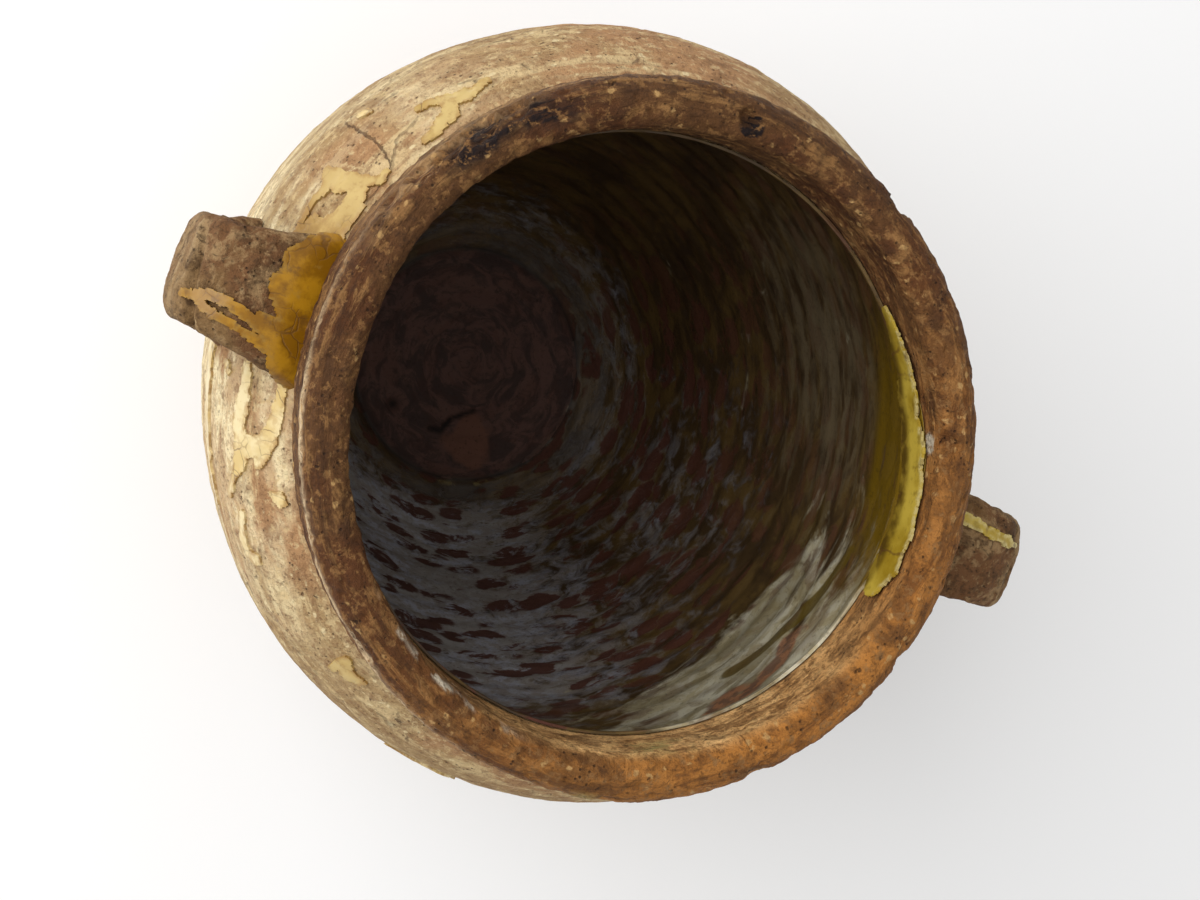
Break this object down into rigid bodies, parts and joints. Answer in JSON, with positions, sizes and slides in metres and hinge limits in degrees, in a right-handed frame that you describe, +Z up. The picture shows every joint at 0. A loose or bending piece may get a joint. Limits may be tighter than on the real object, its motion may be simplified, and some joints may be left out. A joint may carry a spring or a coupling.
{
  "type": "confit pot",
  "caption": "Wide-mouthed earthenware storage jar with a thick rim band, strap ear handles, a glazed inside and worn islands of yellow glaze outside.",
  "frame": {"origin": "centre of the foot, on the surface that the pot stands on", "axes": "+Z up out of the mouth, +X towards the right handle, so the handles lie along X"},
  "size_m": [0.2869, 0.249, 0.275],
  "materials": {
    "buff_clay": "matt, pitted",
    "rim_clay": "matt, worn",
    "strap_clay": "matt, rough",
    "inside_glaze": "glossy, clouded",
    "yellow_glaze": "satin, flaking"
  },
  "bodies": {
    "root": {"pot_body": "buff_clay", "rim_band": "rim_clay", "handle_left": "strap_clay", "handle_right": "strap_clay", "inside_glaze": "inside_glaze", "lip_glaze": "yellow_glaze", "glaze_shoulder_left": "yellow_glaze", "glaze_shoulder_back": "yellow_glaze", "glaze_flank_left": "yellow_glaze", "glaze_flank_front": "yellow_glaze", "glaze_handle_left": "yellow_glaze", "glaze_handle_right": "yellow_glaze"}
  },
  "joints": []
}
